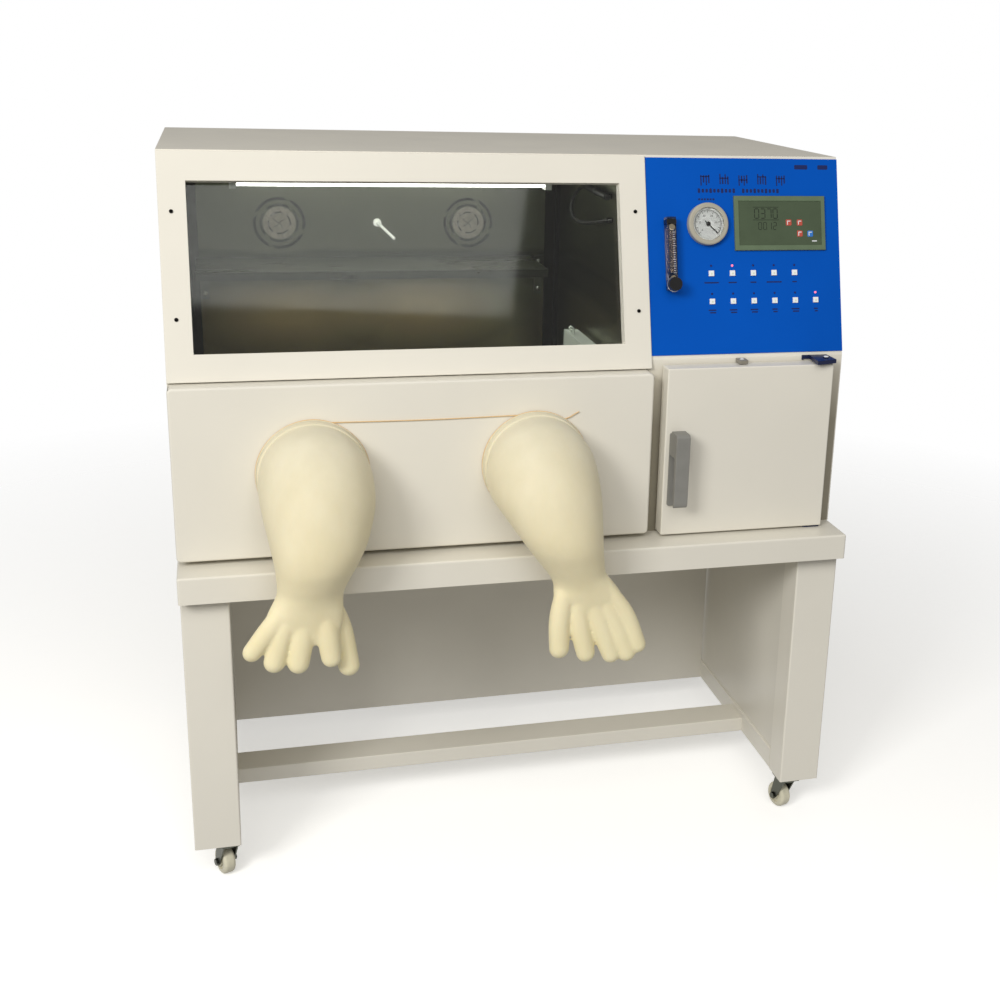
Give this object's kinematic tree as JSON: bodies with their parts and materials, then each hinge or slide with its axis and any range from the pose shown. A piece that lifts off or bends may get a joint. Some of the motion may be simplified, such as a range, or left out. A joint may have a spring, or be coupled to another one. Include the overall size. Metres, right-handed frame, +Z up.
{
  "type": "laboratory glove box",
  "caption": "Sealed heated work chamber with a sloping window, glove ports and an airlock, on a wheeled stand with a control panel.",
  "frame": {"origin": "on the floor, under the middle of the whole object's box", "axes": "+Z up, +X to the user's right, -Y towards the user who stands at the gloves"},
  "size_m": [1.2, 0.8689, 1.28],
  "materials": {
    "cream_paint": "satin powder coat",
    "blue_panel": "semi-gloss screen-printed sheet",
    "chamber_steel": "brushed stainless sheet",
    "bright_steel": "polished steel",
    "fan_dark": "dark satin",
    "clear_glass": "clear tempered glass",
    "acrylic": "clear moulded acrylic",
    "glove_latex": "matt pale yellow latex",
    "tie_elastic": "twisted elastic string",
    "ring_plastic": "moulded cream plastic",
    "handle_grey": "fine-textured grey",
    "hinge_navy": "gloss navy",
    "seal_rubber": "matt foam rubber",
    "inner_door_paint": "satin grey-green",
    "lamp_white": "opal white",
    "cable_black": "black sheath",
    "caster_zinc": "zinc-plated steel",
    "wheel_nylon": "cream nylon",
    "button_white": "glossy white cap",
    "needle_black": "matt black",
    "float_steel": "polished ball",
    "knob_black": "black fluted knob",
    "controller_case": "grey-green case with a dark window",
    "connector_metal": "nickelled brass nipples and a black inlet"
  },
  "bodies": {
    "cabinet": {"casing_shell": "cream_paint", "casing_rear": "cream_paint", "front_fascia": "cream_paint", "window_frame": "cream_paint", "glove_panel": "cream_paint", "stand_top": "cream_paint", "stand_frame": "cream_paint", "stand_sheets": "cream_paint", "control_panel": "blue_panel", "chamber_liner": "chamber_steel", "fan_baffle": "chamber_steel", "airlock_box": "chamber_steel", "shelf": "chamber_steel", "vacuum_gauge": "bright_steel", "window_screws": "bright_steel", "temperature_probe": "bright_steel", "heater": "bright_steel", "fan_motors": "bright_steel", "window_glass": "clear_glass", "flowmeter_body": "acrylic", "glove_left": "glove_latex", "glove_right": "glove_latex", "glove_cuffs": "glove_latex", "tie_string": "tie_elastic", "port_rings": "ring_plastic", "door_hinges": "hinge_navy", "lamp": "lamp_white", "lamp_cable": "cable_black", "caster_plates": "caster_zinc", "controller": "controller_case", "rear_connectors": "connector_metal"},
    "caster_swivel_fl": {"caster_fork_fl": "caster_zinc"},
    "caster_wheel_fl": {"caster_wheel_fl": "wheel_nylon"},
    "caster_swivel_fr": {"caster_fork_fr": "caster_zinc"},
    "caster_wheel_fr": {"caster_wheel_fr": "wheel_nylon"},
    "caster_swivel_rl": {"caster_fork_rl": "caster_zinc"},
    "caster_wheel_rl": {"caster_wheel_rl": "wheel_nylon"},
    "caster_swivel_rr": {"caster_fork_rr": "caster_zinc"},
    "caster_wheel_rr": {"caster_wheel_rr": "wheel_nylon"},
    "airlock_door": {"airlock_door": "cream_paint", "door_gasket": "seal_rubber", "handle_base": "handle_grey"},
    "handle_lever": {"handle_lever": "handle_grey"},
    "inner_door": {"inner_door": "inner_door_paint"},
    "fan_left": {"fan_left": "fan_dark"},
    "fan_right": {"fan_right": "fan_dark"},
    "flow_float": {"flow_float": "float_steel"},
    "flow_knob": {"flow_knob": "knob_black"},
    "gauge_needle": {"gauge_needle": "needle_black"},
    "button_1": {"button_1": "button_white"},
    "button_2": {"button_2": "button_white"},
    "button_3": {"button_3": "button_white"},
    "button_4": {"button_4": "button_white"},
    "button_5": {"button_5": "button_white"},
    "button_6": {"button_6": "button_white"},
    "button_7": {"button_7": "button_white"},
    "button_8": {"button_8": "button_white"},
    "button_9": {"button_9": "button_white"},
    "button_10": {"button_10": "button_white"},
    "button_11": {"button_11": "button_white"}
  },
  "joints": [
    {"name": "caster_swivel_fl", "type": "hinge", "parent": "cabinet", "child": "caster_swivel_fl", "pos_m": [-0.541, -0.253, 0.07], "axis": [0, 0, 1], "continuous": true},
    {"name": "caster_roll_fl", "type": "hinge", "parent": "caster_swivel_fl", "child": "caster_wheel_fl", "pos_m": [-0.54764, -0.23735, 0.025], "axis": [-0.9205, -0.3907, 0], "continuous": true},
    {"name": "caster_swivel_fr", "type": "hinge", "parent": "cabinet", "child": "caster_swivel_fr", "pos_m": [0.541, -0.253, 0.07], "axis": [0, 0, 1], "continuous": true},
    {"name": "caster_roll_fr", "type": "hinge", "parent": "caster_swivel_fr", "child": "caster_wheel_fr", "pos_m": [0.53631, -0.23666, 0.025], "axis": [-0.9613, -0.2756, 0], "continuous": true},
    {"name": "caster_swivel_rl", "type": "hinge", "parent": "cabinet", "child": "caster_swivel_rl", "pos_m": [-0.541, 0.368, 0.07], "axis": [0, 0, 1], "continuous": true},
    {"name": "caster_roll_rl", "type": "hinge", "parent": "caster_swivel_rl", "child": "caster_wheel_rl", "pos_m": [-0.54395, 0.38474, 0.025], "axis": [-0.9848, -0.1736, 0], "continuous": true},
    {"name": "caster_swivel_rr", "type": "hinge", "parent": "cabinet", "child": "caster_swivel_rr", "pos_m": [0.541, 0.368, 0.07], "axis": [0, 0, 1], "continuous": true},
    {"name": "caster_roll_rr", "type": "hinge", "parent": "caster_swivel_rr", "child": "caster_wheel_rr", "pos_m": [0.53302, 0.38301, 0.025], "axis": [-0.8829, -0.4695, 0], "continuous": true},
    {"name": "airlock_door_swing", "type": "hinge", "parent": "cabinet", "child": "airlock_door", "pos_m": [0.56, -0.243, 0.7635], "axis": [0, 0, 1], "range_deg": [0, 110]},
    {"name": "handle_lift", "type": "hinge", "parent": "airlock_door", "child": "handle_lever", "pos_m": [0.271, -0.268, 0.795], "axis": [-1, 0, 0], "range_deg": [0, 20]},
    {"name": "inner_door_drop", "type": "hinge", "parent": "cabinet", "child": "inner_door", "pos_m": [0.15, -0.049, 0.637], "axis": [0, -1, 0], "range_deg": [0, 88]},
    {"name": "fan_spin_left", "type": "hinge", "parent": "cabinet", "child": "fan_left", "pos_m": [-0.39, 0.32, 1.104], "axis": [0, 1, 0], "continuous": true},
    {"name": "fan_spin_right", "type": "hinge", "parent": "cabinet", "child": "fan_right", "pos_m": [-0.011, 0.32, 1.104], "axis": [0, 1, 0], "continuous": true},
    {"name": "float_rise", "type": "slide", "parent": "cabinet", "child": "flow_float", "axis": [0, 0.2636, 0.9646], "range_m": [0, 0.076]},
    {"name": "flow_knob_turn", "type": "hinge", "parent": "cabinet", "child": "flow_knob", "pos_m": [0.269, -0.21017, 1.06317], "axis": [0, -0.9646, 0.2636], "range_deg": [0, 720]},
    {"name": "needle_sweep", "type": "hinge", "parent": "cabinet", "child": "gauge_needle", "pos_m": [0.3418, -0.16476, 1.16334], "axis": [0, -0.9646, 0.2636], "range_deg": [0, 264], "stiffness_Nm_per_rad": 0.0003},
    {"name": "button_press_1", "type": "slide", "parent": "cabinet", "child": "button_1", "axis": [0, 0.9646, -0.2636], "range_m": [0, 0.001], "stiffness_N_per_m": 300, "springref_m": -0.001},
    {"name": "button_press_2", "type": "slide", "parent": "cabinet", "child": "button_2", "axis": [0, 0.9646, -0.2636], "range_m": [0, 0.001], "stiffness_N_per_m": 300, "springref_m": -0.001},
    {"name": "button_press_3", "type": "slide", "parent": "cabinet", "child": "button_3", "axis": [0, 0.9646, -0.2636], "range_m": [0, 0.001], "stiffness_N_per_m": 300, "springref_m": -0.001},
    {"name": "button_press_4", "type": "slide", "parent": "cabinet", "child": "button_4", "axis": [0, 0.9646, -0.2636], "range_m": [0, 0.001], "stiffness_N_per_m": 300, "springref_m": -0.001},
    {"name": "button_press_5", "type": "slide", "parent": "cabinet", "child": "button_5", "axis": [0, 0.9646, -0.2636], "range_m": [0, 0.001], "stiffness_N_per_m": 300, "springref_m": -0.001},
    {"name": "button_press_6", "type": "slide", "parent": "cabinet", "child": "button_6", "axis": [0, 0.9646, -0.2636], "range_m": [0, 0.001], "stiffness_N_per_m": 300, "springref_m": -0.001},
    {"name": "button_press_7", "type": "slide", "parent": "cabinet", "child": "button_7", "axis": [0, 0.9646, -0.2636], "range_m": [0, 0.001], "stiffness_N_per_m": 300, "springref_m": -0.001},
    {"name": "button_press_8", "type": "slide", "parent": "cabinet", "child": "button_8", "axis": [0, 0.9646, -0.2636], "range_m": [0, 0.001], "stiffness_N_per_m": 300, "springref_m": -0.001},
    {"name": "button_press_9", "type": "slide", "parent": "cabinet", "child": "button_9", "axis": [0, 0.9646, -0.2636], "range_m": [0, 0.001], "stiffness_N_per_m": 300, "springref_m": -0.001},
    {"name": "button_press_10", "type": "slide", "parent": "cabinet", "child": "button_10", "axis": [0, 0.9646, -0.2636], "range_m": [0, 0.001], "stiffness_N_per_m": 300, "springref_m": -0.001},
    {"name": "button_press_11", "type": "slide", "parent": "cabinet", "child": "button_11", "axis": [0, 0.9646, -0.2636], "range_m": [0, 0.001], "stiffness_N_per_m": 300, "springref_m": -0.001}
  ]
}
